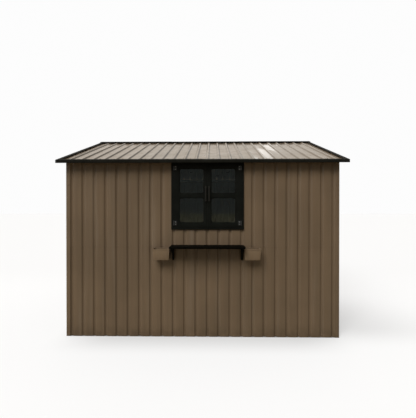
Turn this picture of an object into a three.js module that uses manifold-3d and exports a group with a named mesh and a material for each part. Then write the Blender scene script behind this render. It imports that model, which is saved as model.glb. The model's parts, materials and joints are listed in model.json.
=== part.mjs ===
// A metal garden shed: ribbed sheet walls in two tiers, a pitched ribbed roof with folded trims,
// a double window in the long wall, a shelf on brackets below it and two hanging planters.
// Millimetres. +Z is up, +X runs along the ridge and the window wall faces -Y. The origin is on
// the ground, midway along the object and midway across it, shelf and eaves included.
import * as THREE from 'three';
import { mergeVertices } from 'three/addons/utils/BufferGeometryUtils.js';
import Module from 'manifold-3d';

const wasm = await Module();
wasm.setup();

// ---- driving dimensions: sheets ----
const RIB_PITCH = 118; // spacing of the ribs rolled into every sheet
const WALL_BAYS = 24; // rib pitches along the window wall
const SIDE_BAYS = 20; // rib pitches along a gable wall
const ROOF_EXTRA_BAYS = 1; // rib pitches that the roof is longer than the window wall, so that
// its ribs stand over the wall's
const SHEET_THICKNESS = 0.8;
const RIB_DEPTH = 12;
const RIB_MOUTH = 40; // width of a rib where it leaves the flat
const RIB_CROWN = 14; // width of a rib's flat bottom, or its top on the roof
const GAP = 0.4; // clearance kept between neighbouring pieces

// ---- driving dimensions: walls ----
const GROUND_CLEARANCE = 1; // the sheets stop this far above the ground
const LAP_HEIGHT = 932; // lower edge of the upper tier
const LAP_OVERLAP = 24; // the lower tier runs on this far behind the upper one
const LAP_STEP = 1.6; // the lower tier sits this far inside the upper one
const CORNER_LEG = 40;
const TRIM_THICKNESS = 1.2;
const WALL_TOP_PLAY = 1; // from the top of the long walls to the roof sheets
const BEYOND = 50; // how far a cutting shape runs past what it cuts

// ---- driving dimensions: roof ----
const EAVE_OVERHANG = 100; // from the wall sheet's face to the eave trim's face
const ROOF_TOP = 2288; // top of the ridge cap
const EAVE_TOP = 1827.4; // top edge of the roof trims at the eave
const ROOF_EDGE_PLAY = 3.5; // from the end of the roof sheet to the inside of the gable trim
const TRIM_DROP = 31.6; // height of the black trims at the eaves
const GABLE_FLANGE = 44; // the gable trim covers the rib along the sheet's edge, and more
const EAVE_FLANGE = 40;
const RIDGE_CAP_RAISE = 6; // height of the ridge cap's turned-down edges
const RIDGE_CAP_LEG = 70; // from the ridge to the cap's edge, down the slope
const RIDGE_GAP = 8; // half the opening between the two roof sheets at the ridge
const BEAM_PLAY = 1; // from the ridge beam's top edges to the roof sheets

// ---- driving dimensions: inner frame ----
const RAIL_PLAY = 0.6; // from the bottoms of the wall's ribs to the rails
const RAIL_THICKNESS = 1.5;
const RAIL_END_PLAY = 1; // from a rail's end to the rail or the wall that it runs up to
const TOP_RAIL_PLAY = 2; // from a top rail to the wall's top edge
const BASE_RAIL = 40;
const MID_RAIL_HEIGHT = 30;
const MID_RAIL_DEPTH = 25;
const TOP_RAIL_HEIGHT = 26;
const TOP_RAIL_DEPTH = 30;
const RIDGE_BEAM_WIDTH = 40;
const RIDGE_BEAM_HEIGHT = 50;

// ---- driving dimensions: window ----
const WINDOW_BAYS = 6; // rib pitches that the window spans
const WINDOW_CENTRE = RIB_PITCH / 2; // from the middle of the wall
const WINDOW_SILL = 1117; // underside of the frame
const WINDOW_HEIGHT = 701;
const FRAME_PLAY = 1; // the frame covers its outermost ribs and this much beyond them
const FRAME_BORDER = 19.6;
const FRAME_PROUD = 15;
const FRAME_STEP = 11; // the sleeve through the wall is this much smaller than the border
const FRAME_INWARD = 26;
const SHOULDER = 10.4; // how far the sleeve stands in behind the sashes
const SASH_PROUD = 18;
const SASH_DEPTH = 14.6;
const OUTER_STILE = 66;
const INNER_STILE = 38.5;
const SASH_RAIL = 52;
const GLAZING_BAR = 48;
const LIGHT_RADIUS = 22;
const PANE_THICKNESS = 3;
const PANE_REBATE = 9;
const HANDLE = { width: 14, height: 148, reach: 26, bar: 10, foot: 14, inset: 17, raise: 20 };
const HINGE = { width: 39, height: 47, leaf: 4, edge: 2, barrel: 14, reach: 10.6, chamfer: 3, inset: 23 };

// ---- driving dimensions: shelf and planters ----
const SHELF_LENGTH = 748;
const SHELF_DEPTH = 200;
const SHELF_TOP = 957;
const SHELF_LIP = 16;
const SHELF_SKIN = 3;
const BRACKET_WIDTH = 22;
const BRACKET_INSET = 6;
const BRACKET_REACH = 172;
const BRACKET_FOOT = 800;
const BRACKET_SKIN = 3;
const BRACKET_RIM = 6; // the bracket's web stops this far from its ends
const PLANTER_CENTRES = [-465, 452]; // from the middle of the window
const PLANTER_TOP = 928;
const PLANTER_HEIGHT = 112;
const PLANTER_WIDTH = 168;
const PLANTER_DEPTH = 122;
const PLANTER_TAPER = 0.91; // the bottom's size over the top's
const PLANTER_SKIN = 2;

// ---- derived sizes ----
const HALF_LENGTH = (WALL_BAYS * RIB_PITCH) / 2;
const HALF_DEPTH = (SIDE_BAYS * RIB_PITCH) / 2;
const ROOF_BAYS = WALL_BAYS + ROOF_EXTRA_BAYS;
const HALF_ROOF = (ROOF_BAYS * RIB_PITCH) / 2 + ROOF_EDGE_PLAY + TRIM_THICKNESS;
const EAVE_Y = HALF_DEPTH + EAVE_OVERHANG;
const BODY_SHIFT = (SHELF_DEPTH - EAVE_OVERHANG) / 2;
// Levels above the roof sheet's flats, measured square to the slope, one trim over the other.
const EAVE_FLANGE_LEVEL = RIB_DEPTH + GAP;
const GABLE_FLANGE_LEVEL = EAVE_FLANGE_LEVEL + TRIM_THICKNESS + GAP;
const RIDGE_CAP_LEVEL = GABLE_FLANGE_LEVEL + TRIM_THICKNESS + GAP;
const RAIL_SETBACK = LAP_STEP + RIB_DEPTH + SHEET_THICKNESS + RAIL_PLAY;
const SLOPE = roofSlope();
const COS = Math.cos(SLOPE);
const TAN = Math.tan(SLOPE);
const EAVE_BASE = EAVE_TOP - (GABLE_FLANGE_LEVEL + TRIM_THICKNESS) / COS;
const WALL_TOP = roofHeight(HALF_DEPTH, -SHEET_THICKNESS) - WALL_TOP_PLAY;
const SASH_WIDTH = OUTER_STILE + INNER_STILE + lightWidth();
const WINDOW_WIDTH = windowWidth();

// The slope that puts the gable trims at the eave height and the ridge cap at the roof's top.
function roofSlope() {
  let slope = 0;
  for (let pass = 0; pass < 40; pass += 1) {
    const rise = ROOF_TOP - EAVE_TOP - (RIDGE_CAP_RAISE + GAP) / Math.cos(slope);
    slope = Math.atan(rise / EAVE_Y);
  }
  return slope;
}

// Height of the roof at a distance from the ridge line, a level above the sheet's flats.
function roofHeight(fromRidge, level) {
  return EAVE_BASE + (EAVE_Y - fromRidge) * TAN + level / COS;
}

// The frame covers its ribs to the far edges of the outermost two.
function windowWidth() {
  return WINDOW_BAYS * RIB_PITCH + RIB_MOUTH + 2 * FRAME_PLAY;
}

function lightWidth() {
  return (windowWidth() - 2 * FRAME_BORDER - 3 * GAP) / 2 - OUTER_STILE - INNER_STILE;
}

// ---- materials ----
function paint(color, roughness, metalness) {
  return new THREE.MeshStandardMaterial({ color, roughness, metalness });
}
const WALL_PAINT = paint(0x675845, 0.42, 0.15);
const ROOF_PAINT = paint(0x75664f, 0.3, 0.15);
const BLACK_PAINT = paint(0x121314, 0.4, 0.1);
const GALVANISED = paint(0x9a9d9b, 0.38, 0.9);
const BLACK_PLASTIC = paint(0x101213, 0.5, 0);
const HINGE_METAL = paint(0x4f5b61, 0.4, 0.6);
const GLASS = paint(0x1d2226, 0.06, 0);

// ---- geometry helpers ----
const MERGE_WITHIN = 1e-3;

function polygon(points) {
  return new THREE.Shape(points.map(([a, b]) => new THREE.Vector2(a, b)));
}

function extrude(shape, length) {
  return new THREE.ExtrudeGeometry(shape, { depth: length, bevelEnabled: false, curveSegments: 4 });
}

const FORWARD_Z = new THREE.Matrix4();
const FORWARD_X = new THREE.Matrix4().makeBasis(
  new THREE.Vector3(0, 1, 0),
  new THREE.Vector3(0, 0, 1),
  new THREE.Vector3(1, 0, 0),
);
const BACKWARD_Y = new THREE.Matrix4().makeBasis(
  new THREE.Vector3(1, 0, 0),
  new THREE.Vector3(0, 0, 1),
  new THREE.Vector3(0, -1, 0),
);

// A section drawn in X and Y, run upwards from one height to another.
function upright(shape, low, high) {
  return extrude(shape, high - low).applyMatrix4(FORWARD_Z).translate(0, 0, low);
}

// A section drawn in Y and Z, run along X.
function lengthways(shape, left, right) {
  return extrude(shape, right - left).applyMatrix4(FORWARD_X).translate(left, 0, 0);
}

// An outline drawn in X and Z, given its thickness along Y.
function facing(shape, front, back) {
  return extrude(shape, back - front).applyMatrix4(BACKWARD_Y).translate(0, back, 0);
}

function box(x0, x1, y0, y1, z0, z1) {
  const geometry = new THREE.BoxGeometry(x1 - x0, y1 - y0, z1 - z0);
  return geometry.translate((x0 + x1) / 2, (y0 + y1) / 2, (z0 + z1) / 2);
}

function solid(geometry) {
  const bare = geometry.clone();
  bare.deleteAttribute('normal');
  bare.deleteAttribute('uv');
  const merged = mergeVertices(bare, MERGE_WITHIN);
  const vertProperties = merged.attributes.position.array;
  const triVerts = new Uint32Array(merged.index.array);
  return new wasm.Manifold(new wasm.Mesh({ numProp: 3, vertProperties, triVerts }));
}

function geometryOf(body) {
  const mesh = body.getMesh();
  const indexed = new THREE.BufferGeometry();
  indexed.setAttribute('position', new THREE.BufferAttribute(mesh.vertProperties, 3));
  indexed.setIndex(new THREE.BufferAttribute(mesh.triVerts, 1));
  const geometry = indexed.toNonIndexed();
  geometry.computeVertexNormals();
  return geometry;
}

function add(parent, name, geometry, material) {
  const mesh = new THREE.Mesh(geometry, material);
  mesh.name = name;
  parent.add(mesh);
  return mesh;
}

// The section of a ribbed sheet, with its outer face on the line y = face and its inside towards
// +Y. A positive rib depth presses the ribs inwards, a negative one raises them outwards. The ribs
// are spread about the middle, and a sheet with edge ribs has half a rib more along each edge.
function ribbedSection(halfWidth, ribs, ribDepth, face, edgeRibs) {
  const lean = Math.atan2(Math.abs(ribDepth), (RIB_MOUTH - RIB_CROWN) / 2);
  const shrink = SHEET_THICKNESS * Math.tan(lean / 2) * Math.sign(ribDepth);
  const outer = [];
  const inner = [];
  const foldAt = (x, side, depth) => {
    outer.push([x, face + depth]);
    inner.push([x + side * shrink, face + depth + SHEET_THICKNESS]);
  };
  foldAt(-halfWidth, 0, edgeRibs ? ribDepth : 0);
  if (edgeRibs) {
    foldAt(-halfWidth + RIB_CROWN / 2, 1, ribDepth);
    foldAt(-halfWidth + RIB_MOUTH / 2, 1, 0);
  }
  for (let rib = 0; rib < ribs; rib += 1) {
    const centre = (rib + 0.5 - ribs / 2) * RIB_PITCH;
    foldAt(centre - RIB_MOUTH / 2, -1, 0);
    foldAt(centre - RIB_CROWN / 2, -1, ribDepth);
    foldAt(centre + RIB_CROWN / 2, 1, ribDepth);
    foldAt(centre + RIB_MOUTH / 2, 1, 0);
  }
  if (edgeRibs) {
    foldAt(halfWidth - RIB_MOUTH / 2, -1, 0);
    foldAt(halfWidth - RIB_CROWN / 2, -1, ribDepth);
  }
  foldAt(halfWidth, 0, edgeRibs ? ribDepth : 0);
  return polygon([...outer, ...inner.reverse()]);
}

// An angle section in Y and Z: an upright leg at the setback and a flat leg that runs inwards.
function angleSection(low, height, depth) {
  const face = RAIL_SETBACK;
  return polygon([
    [face, low],
    [face + depth, low],
    [face + depth, low + RAIL_THICKNESS],
    [face + RAIL_THICKNESS, low + RAIL_THICKNESS],
    [face + RAIL_THICKNESS, low + height],
    [face, low + height],
  ]);
}

// ---- the whole shed, centred on the walls ----
const shed = new THREE.Group();
const body = new THREE.Group();
body.position.y = BODY_SHIFT;
shed.add(body);

// Each wall has a frame of its own: X along the wall, Y inwards from its face, Z up.
function wallFrame(quarterTurns, distance) {
  const frame = new THREE.Group();
  const angle = (quarterTurns * Math.PI) / 2;
  frame.rotation.z = angle;
  frame.position.set(Math.sin(angle) * distance, -Math.cos(angle) * distance, 0);
  body.add(frame);
  return frame;
}
const front = wallFrame(0, HALF_DEPTH);
const right = wallFrame(1, HALF_LENGTH);
const back = wallFrame(2, HALF_DEPTH);
const left = wallFrame(3, HALF_LENGTH);

// ---- long walls ----
function windowOpening() {
  const half = WINDOW_WIDTH / 2 - FRAME_STEP + GAP;
  const low = WINDOW_SILL + FRAME_STEP - GAP;
  const high = WINDOW_SILL + WINDOW_HEIGHT - FRAME_STEP + GAP;
  return box(WINDOW_CENTRE - half, WINDOW_CENTRE + half, -BEYOND, BEYOND, low, high);
}

function longWall(frame, side) {
  const lower = ribbedSection(HALF_LENGTH, WALL_BAYS, RIB_DEPTH, LAP_STEP, false);
  const upper = ribbedSection(HALF_LENGTH, WALL_BAYS, RIB_DEPTH, 0, false);
  add(frame, `${side}_wall_lower`, upright(lower, GROUND_CLEARANCE, LAP_HEIGHT + LAP_OVERLAP), WALL_PAINT);
  const tier = upright(upper, LAP_HEIGHT, WALL_TOP);
  const cut = side === 'front' ? geometryOf(solid(tier).subtract(solid(windowOpening()))) : tier;
  add(frame, `${side}_wall_upper`, cut, WALL_PAINT);
}
longWall(front, 'front');
longWall(back, 'back');

// ---- gable walls: the upper tier runs up to the underside of the roof ----
function gableOutline() {
  const half = HALF_DEPTH - LAP_STEP - SHEET_THICKNESS - GAP;
  const under = -SHEET_THICKNESS - GAP;
  return polygon([
    [-half, LAP_HEIGHT],
    [half, LAP_HEIGHT],
    [half, roofHeight(half, under)],
    [0, roofHeight(0, under)],
    [-half, roofHeight(half, under)],
  ]);
}

function gableWall(frame, side) {
  const half = HALF_DEPTH - LAP_STEP - SHEET_THICKNESS - GAP;
  const lower = ribbedSection(half, SIDE_BAYS, RIB_DEPTH, LAP_STEP, false);
  const upper = ribbedSection(half, SIDE_BAYS, RIB_DEPTH, 0, false);
  add(frame, `${side}_wall_lower`, upright(lower, GROUND_CLEARANCE, LAP_HEIGHT + LAP_OVERLAP), WALL_PAINT);
  const tier = upright(upper, LAP_HEIGHT, ROOF_TOP);
  const gable = solid(tier).intersect(solid(facing(gableOutline(), -BEYOND, BEYOND)));
  add(frame, `${side}_gable_wall_upper`, geometryOf(gable), WALL_PAINT);
}
gableWall(left, 'left');
gableWall(right, 'right');

// ---- corner posts: folded angles outside the sheets ----
function cornerPost(name, sideX, sideY) {
  const x = HALF_LENGTH + GAP + TRIM_THICKNESS;
  const y = HALF_DEPTH + GAP + TRIM_THICKNESS;
  const section = polygon([
    [x, y],
    [x - CORNER_LEG, y],
    [x - CORNER_LEG, y - TRIM_THICKNESS],
    [x - TRIM_THICKNESS, y - TRIM_THICKNESS],
    [x - TRIM_THICKNESS, y - CORNER_LEG],
    [x, y - CORNER_LEG],
  ].map(([a, b]) => [a * sideX, b * sideY]));
  add(body, name, upright(section, 0, WALL_TOP), WALL_PAINT);
}
cornerPost('front_left_corner_post', -1, -1);
cornerPost('front_right_corner_post', 1, -1);
cornerPost('back_left_corner_post', -1, 1);
cornerPost('back_right_corner_post', 1, 1);

// ---- rails inside the walls ----
function rails(frame, side, wallHalf, cornered) {
  const reach = (depth) => wallHalf - RAIL_SETBACK - RAIL_END_PLAY - (cornered ? depth : 0);
  const base = angleSection(0, BASE_RAIL, BASE_RAIL);
  const mid = angleSection(LAP_HEIGHT, MID_RAIL_HEIGHT, MID_RAIL_DEPTH);
  add(frame, `${side}_base_rail`, lengthways(base, -reach(BASE_RAIL), reach(BASE_RAIL)), GALVANISED);
  add(frame, `${side}_mid_rail`, lengthways(mid, -reach(MID_RAIL_DEPTH), reach(MID_RAIL_DEPTH)), GALVANISED);
  if (!cornered) {
    const low = WALL_TOP - TOP_RAIL_PLAY - TOP_RAIL_HEIGHT;
    const top = angleSection(low, TOP_RAIL_HEIGHT, TOP_RAIL_DEPTH);
    add(frame, `${side}_top_rail`, lengthways(top, -reach(0), reach(0)), GALVANISED);
  }
}
rails(front, 'front', HALF_LENGTH, false);
rails(back, 'back', HALF_LENGTH, false);
rails(left, 'left', HALF_DEPTH, true);
rails(right, 'right', HALF_DEPTH, true);

function ridgeBeam() {
  const half = RIDGE_BEAM_WIDTH / 2;
  const high = roofHeight(half, -SHEET_THICKNESS) - BEAM_PLAY;
  const low = high - RIDGE_BEAM_HEIGHT;
  const section = polygon([
    [-half, low],
    [-half, high],
    [half, high],
    [half, low],
    [half - RAIL_THICKNESS, low],
    [half - RAIL_THICKNESS, high - RAIL_THICKNESS],
    [-half + RAIL_THICKNESS, high - RAIL_THICKNESS],
    [-half + RAIL_THICKNESS, low],
  ]);
  const reach = HALF_LENGTH - RAIL_SETBACK - RAIL_END_PLAY;
  add(body, 'ridge_beam', lengthways(section, -reach, reach), GALVANISED);
}
ridgeBeam();

// ---- roof: each slope has a frame with X along the eave, Y into the roof and Z up the slope ----
function slopeFrame(halfTurn) {
  const turned = new THREE.Group();
  turned.rotation.z = halfTurn ? Math.PI : 0;
  const frame = new THREE.Group();
  frame.position.set(0, -EAVE_Y, EAVE_BASE);
  frame.rotation.x = SLOPE - Math.PI / 2;
  turned.add(frame);
  body.add(turned);
  return frame;
}

function roofSheet(side, halfTurn) {
  const half = (ROOF_BAYS * RIB_PITCH) / 2;
  const section = ribbedSection(half, ROOF_BAYS - 1, -RIB_DEPTH, 0, true);
  const low = (TRIM_THICKNESS + GAP) / COS + RIB_DEPTH * TAN;
  const high = (EAVE_Y - RIDGE_GAP) / COS;
  add(slopeFrame(halfTurn), `${side}_roof_sheet`, upright(section, low, high), ROOF_PAINT);
}
roofSheet('front', false);
roofSheet('back', true);

// The gable trim of one slope: a flange over the first rib and a leg down the roof's edge.
function gableTrimHalf(sideX) {
  const out = -GABLE_FLANGE_LEVEL - TRIM_THICKNESS;
  const leg = TRIM_DROP * COS;
  const section = polygon([
    [HALF_ROOF, out],
    [HALF_ROOF, out + leg],
    [HALF_ROOF - TRIM_THICKNESS, out + leg],
    [HALF_ROOF - TRIM_THICKNESS, out + TRIM_THICKNESS],
    [HALF_ROOF - GABLE_FLANGE, out + TRIM_THICKNESS],
    [HALF_ROOF - GABLE_FLANGE, out],
  ].map(([a, b]) => [a * sideX, b]));
  const long = upright(section, -BEYOND, EAVE_Y / COS + BEYOND);
  long.rotateX(SLOPE - Math.PI / 2).translate(0, -EAVE_Y, EAVE_BASE);
  const side = HALF_ROOF + BEYOND;
  return solid(long).intersect(solid(box(-side, side, -EAVE_Y, 0, 0, ROOF_TOP + BEYOND)));
}

function gableTrim(side, sideX) {
  const frontHalf = gableTrimHalf(sideX);
  const backHalf = gableTrimHalf(-sideX).rotate([0, 0, 180]);
  add(body, `${side}_gable_trim`, geometryOf(frontHalf.add(backHalf)), BLACK_PAINT);
}
gableTrim('left', -1);
gableTrim('right', 1);

function eaveTrim(side, facingY) {
  const inside = EAVE_Y - TRIM_THICKNESS;
  const reach = EAVE_Y - EAVE_FLANGE;
  const level = EAVE_FLANGE_LEVEL;
  const section = polygon([
    [EAVE_Y, EAVE_TOP - TRIM_DROP],
    [inside, EAVE_TOP - TRIM_DROP],
    [inside, roofHeight(inside, level)],
    [reach, roofHeight(reach, level)],
    [reach, roofHeight(reach, level + TRIM_THICKNESS)],
    [EAVE_Y, roofHeight(EAVE_Y, level + TRIM_THICKNESS)],
  ].map(([a, b]) => [a * facingY, b]));
  const half = HALF_ROOF - TRIM_THICKNESS - GAP;
  add(body, `${side}_eave_trim`, lengthways(section, -half, half), BLACK_PAINT);
}
eaveTrim('front', -1);
eaveTrim('back', 1);

// The ridge cap: two flanges that clear the ribs, with their edges turned down to the gable trims.
function ridgeCap() {
  const low = RIDGE_CAP_LEVEL;
  const high = low + RIDGE_CAP_RAISE;
  const edge = RIDGE_CAP_LEG * COS;
  const inside = edge - TRIM_THICKNESS;
  const half = [
    [edge, roofHeight(edge, high)],
    [edge, roofHeight(edge, low)],
    [inside, roofHeight(inside, low)],
    [inside, roofHeight(inside, high - TRIM_THICKNESS)],
  ];
  const mirrored = half.map(([a, b]) => [-a, b]).reverse();
  const peak = [0, roofHeight(0, high)];
  const underside = [0, roofHeight(0, high - TRIM_THICKNESS)];
  const section = polygon([peak, ...half, underside, ...mirrored]);
  add(body, 'ridge_cap', lengthways(section, -HALF_ROOF, HALF_ROOF), BLACK_PAINT);
}
ridgeCap();

// ---- window: a stepped frame, two sashes with two lights each, handles and hinges ----
function rectangle(x0, x1, z0, z1) {
  return polygon([[x0, z0], [x1, z0], [x1, z1], [x0, z1]]);
}

function ring(centre, low, width, height, border, front, back) {
  const shape = rectangle(centre - width / 2, centre + width / 2, low, low + height);
  const hole = rectangle(
    centre - width / 2 + border,
    centre + width / 2 - border,
    low + border,
    low + height - border,
  );
  shape.holes.push(hole);
  return facing(shape, front, back);
}

function windowFrame() {
  const border = ring(
    WINDOW_CENTRE, WINDOW_SILL, WINDOW_WIDTH, WINDOW_HEIGHT, FRAME_BORDER, -FRAME_PROUD, -GAP,
  );
  const sleeve = ring(
    WINDOW_CENTRE,
    WINDOW_SILL + FRAME_STEP,
    WINDOW_WIDTH - 2 * FRAME_STEP,
    WINDOW_HEIGHT - 2 * FRAME_STEP,
    FRAME_BORDER - FRAME_STEP + SHOULDER,
    -(SASH_PROUD - SASH_DEPTH) + GAP,
    FRAME_INWARD,
  );
  add(front, 'window_frame', geometryOf(solid(border).add(solid(sleeve))), BLACK_PLASTIC);
}
windowFrame();

function roundedLight(x0, x1, z0, z1) {
  const r = LIGHT_RADIUS;
  const path = new THREE.Path();
  path.moveTo(x0 + r, z0);
  path.lineTo(x1 - r, z0);
  path.absarc(x1 - r, z0 + r, r, -Math.PI / 2, 0, false);
  path.lineTo(x1, z1 - r);
  path.absarc(x1 - r, z1 - r, r, 0, Math.PI / 2, false);
  path.lineTo(x0 + r, z1);
  path.absarc(x0 + r, z1 - r, r, Math.PI / 2, Math.PI, false);
  path.lineTo(x0, z0 + r);
  path.absarc(x0 + r, z0 + r, r, Math.PI, Math.PI * 1.5, false);
  return path;
}

// One sash with its pane, handle and hinges. The side is -1 for the left one, 1 for the right.
function sash(name, side) {
  const low = WINDOW_SILL + FRAME_BORDER + GAP;
  const high = WINDOW_SILL + WINDOW_HEIGHT - FRAME_BORDER - GAP;
  const meeting = WINDOW_CENTRE + (side * GAP) / 2;
  const outer = meeting + side * SASH_WIDTH;
  const near = meeting + side * INNER_STILE;
  const far = outer - side * OUTER_STILE;
  const x = (a, b) => [Math.min(a, b), Math.max(a, b)];
  const shape = rectangle(...x(meeting, outer), low, high);
  const light = (high - low - 2 * SASH_RAIL - GLAZING_BAR) / 2;
  const sill = low + SASH_RAIL;
  shape.holes.push(roundedLight(...x(near, far), sill, sill + light));
  shape.holes.push(roundedLight(...x(near, far), high - SASH_RAIL - light, high - SASH_RAIL));
  const rear = -(SASH_PROUD - SASH_DEPTH);
  add(front, `${name}_sash`, facing(shape, -SASH_PROUD, rear), BLACK_PLASTIC);

  const [glassLeft, glassRight] = x(near - side * PANE_REBATE, far + side * PANE_REBATE);
  const pane = rectangle(glassLeft, glassRight, sill - PANE_REBATE, high - SASH_RAIL + PANE_REBATE);
  add(front, `${name}_pane`, facing(pane, rear + GAP, rear + GAP + PANE_THICKNESS), GLASS);

  sashHandle(name, meeting + side * HANDLE.inset, (low + high) / 2 + HANDLE.raise);
  sashHinge(`${name}_upper_hinge`, outer, side, high - HINGE.inset - HINGE.height);
  sashHinge(`${name}_lower_hinge`, outer, side, low + HINGE.inset);
}

// A pull handle: an upright bar held off the sash by two feet.
function sashHandle(name, x, middle) {
  const root = -SASH_PROUD - GAP;
  const low = middle - HANDLE.height / 2;
  const high = middle + HANDLE.height / 2;
  const section = polygon([
    [root, low],
    [root - HANDLE.reach, low],
    [root - HANDLE.reach, high],
    [root, high],
    [root, high - HANDLE.foot],
    [root - HANDLE.reach + HANDLE.bar, high - HANDLE.foot],
    [root - HANDLE.reach + HANDLE.bar, low + HANDLE.foot],
    [root, low + HANDLE.foot],
  ]);
  const bar = lengthways(section, x - HANDLE.width / 2, x + HANDLE.width / 2);
  add(front, `${name}_handle`, bar, BLACK_PAINT);
}

// A hinge block on a sash's outer stile: a flat leaf and a raised barrel at the edge.
function sashHinge(name, edge, side, low) {
  const root = -SASH_PROUD - GAP;
  const section = polygon([
    [HINGE.edge, root],
    [HINGE.width, root],
    [HINGE.width, root - HINGE.leaf],
    [HINGE.barrel, root - HINGE.leaf],
    [HINGE.barrel, root - HINGE.reach + HINGE.chamfer],
    [HINGE.barrel - HINGE.chamfer, root - HINGE.reach],
    [HINGE.edge + HINGE.chamfer, root - HINGE.reach],
    [HINGE.edge, root - HINGE.reach + HINGE.chamfer],
  ].map(([a, b]) => [edge - side * a, b]));
  add(front, name, upright(section, low, low + HINGE.height), HINGE_METAL);
}
sash('left_window', -1);
sash('right_window', 1);

// ---- shelf below the window ----
function shelf() {
  const half = SHELF_LENGTH / 2;
  const x = WINDOW_CENTRE;
  const low = SHELF_TOP - SHELF_LIP;
  const plate = box(x - half, x + half, -SHELF_DEPTH, -GAP, low, SHELF_TOP);
  const hollow = box(
    x - half + SHELF_SKIN,
    x + half - SHELF_SKIN,
    -SHELF_DEPTH + SHELF_SKIN,
    -GAP - SHELF_SKIN,
    low - BEYOND,
    SHELF_TOP - SHELF_SKIN,
  );
  add(front, 'window_shelf', geometryOf(solid(plate).subtract(solid(hollow))), BLACK_PLASTIC);
}
shelf();

// A shelf bracket: a strip folded along the wall and under the shelf, with a web between.
function shelfBracket(name, side) {
  const outer = WINDOW_CENTRE + side * (SHELF_LENGTH / 2 - BRACKET_INSET);
  const inner = outer - side * BRACKET_WIDTH;
  const [x0, x1] = [Math.min(outer, inner), Math.max(outer, inner)];
  const top = SHELF_TOP - SHELF_SKIN - GAP;
  const rear = -GAP - SHELF_SKIN - GAP;
  const strip = lengthways(polygon([
    [rear, BRACKET_FOOT],
    [rear, top],
    [-BRACKET_REACH, top],
    [-BRACKET_REACH, top - BRACKET_SKIN],
    [rear - BRACKET_SKIN, top - BRACKET_SKIN],
    [rear - BRACKET_SKIN, BRACKET_FOOT],
  ]), x0, x1);
  const middle = (x0 + x1) / 2;
  const buried = BRACKET_SKIN / 2;
  const web = lengthways(polygon([
    [rear - buried, BRACKET_FOOT + BRACKET_RIM],
    [rear - buried, top - buried],
    [-BRACKET_REACH + BRACKET_RIM, top - buried],
    [-BRACKET_REACH + BRACKET_RIM, top - BRACKET_SKIN - BRACKET_RIM],
    [rear - BRACKET_SKIN - BRACKET_RIM, BRACKET_FOOT + BRACKET_RIM],
  ]), middle - BRACKET_SKIN / 2, middle + BRACKET_SKIN / 2);
  add(front, name, geometryOf(solid(strip).add(solid(web))), BLACK_PAINT);
}
shelfBracket('left_shelf_bracket', -1);
shelfBracket('right_shelf_bracket', 1);

// ---- planters: tapered boxes, open at the top, with the back upright against the wall ----
function taperedBox(width, depth, height, taper) {
  const geometry = new THREE.BoxGeometry(width, depth, height);
  geometry.translate(0, -depth / 2, height / 2);
  const place = geometry.attributes.position;
  for (let i = 0; i < place.count; i += 1) {
    const shrink = place.getZ(i) > height / 2 ? 1 : taper;
    place.setXY(i, place.getX(i) * shrink, place.getY(i) * shrink);
  }
  return geometry;
}

function planter(name, centre) {
  const skin = PLANTER_SKIN;
  const outside = taperedBox(PLANTER_WIDTH, PLANTER_DEPTH, PLANTER_HEIGHT, PLANTER_TAPER);
  const inside = taperedBox(
    PLANTER_WIDTH - 2 * skin, PLANTER_DEPTH - 2 * skin, PLANTER_HEIGHT, PLANTER_TAPER,
  );
  inside.translate(0, -skin, skin);
  const shell = geometryOf(solid(outside).subtract(solid(inside)));
  shell.translate(WINDOW_CENTRE + centre, LAP_STEP - GAP, PLANTER_TOP - PLANTER_HEIGHT);
  add(front, name, shell, WALL_PAINT);
}
planter('left_planter', PLANTER_CENTRES[0]);
planter('right_planter', PLANTER_CENTRES[1]);

export default shed;
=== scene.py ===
"""Finishes a metal garden shed around its fixed frame: sheets, trims, window and planters."""

import json
import math

import bmesh
import bpy
from bpy.props import FloatProperty, FloatVectorProperty, IntProperty, PointerProperty
from mathutils import Matrix, Vector


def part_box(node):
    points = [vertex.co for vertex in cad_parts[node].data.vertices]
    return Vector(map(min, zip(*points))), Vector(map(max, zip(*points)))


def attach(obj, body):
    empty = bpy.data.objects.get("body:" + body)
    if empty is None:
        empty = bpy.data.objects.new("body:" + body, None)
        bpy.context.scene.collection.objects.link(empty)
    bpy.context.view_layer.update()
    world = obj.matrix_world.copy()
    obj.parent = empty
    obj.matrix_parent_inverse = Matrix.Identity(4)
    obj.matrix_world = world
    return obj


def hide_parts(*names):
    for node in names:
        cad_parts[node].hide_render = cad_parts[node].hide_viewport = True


bl_info = {
    "name": "Garden shed",
    "version": (1, 0, 0),
    "blender": (4, 5, 0),
    "location": "3D View > Sidebar > Shed",
    "description": "Builds a ribbed metal garden shed around its fixed frame",
    "category": "Object",
}

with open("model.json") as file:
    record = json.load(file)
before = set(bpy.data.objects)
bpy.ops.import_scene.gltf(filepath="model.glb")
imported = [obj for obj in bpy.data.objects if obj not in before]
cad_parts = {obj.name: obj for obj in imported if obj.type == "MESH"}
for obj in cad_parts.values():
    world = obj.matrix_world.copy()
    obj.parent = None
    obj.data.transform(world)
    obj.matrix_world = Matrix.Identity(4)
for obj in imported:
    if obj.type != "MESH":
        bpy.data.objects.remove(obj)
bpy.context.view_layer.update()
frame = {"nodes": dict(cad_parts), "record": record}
SLOTS = {part["node"]: part["material_slot"] for part in frame["record"]["subparts"]}
SIDES = ("front", "right", "back", "left")
LONG_SIDES = {"front": -1, "back": 1}  # Which way each lies along Y
ENDS = {"left": -1, "right": 1}  # Which way each lies along X
PAINTS = {}  # The materials by name, once they are made

# Angles between two faces
SMOOTH_BELOW = math.radians(28)  # The two shade as one
ROUND_ABOVE = math.radians(30)  # An edge taken over from the frame is rounded
SOFTEN_ABOVE = math.radians(35)  # Any other edge is rounded

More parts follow.
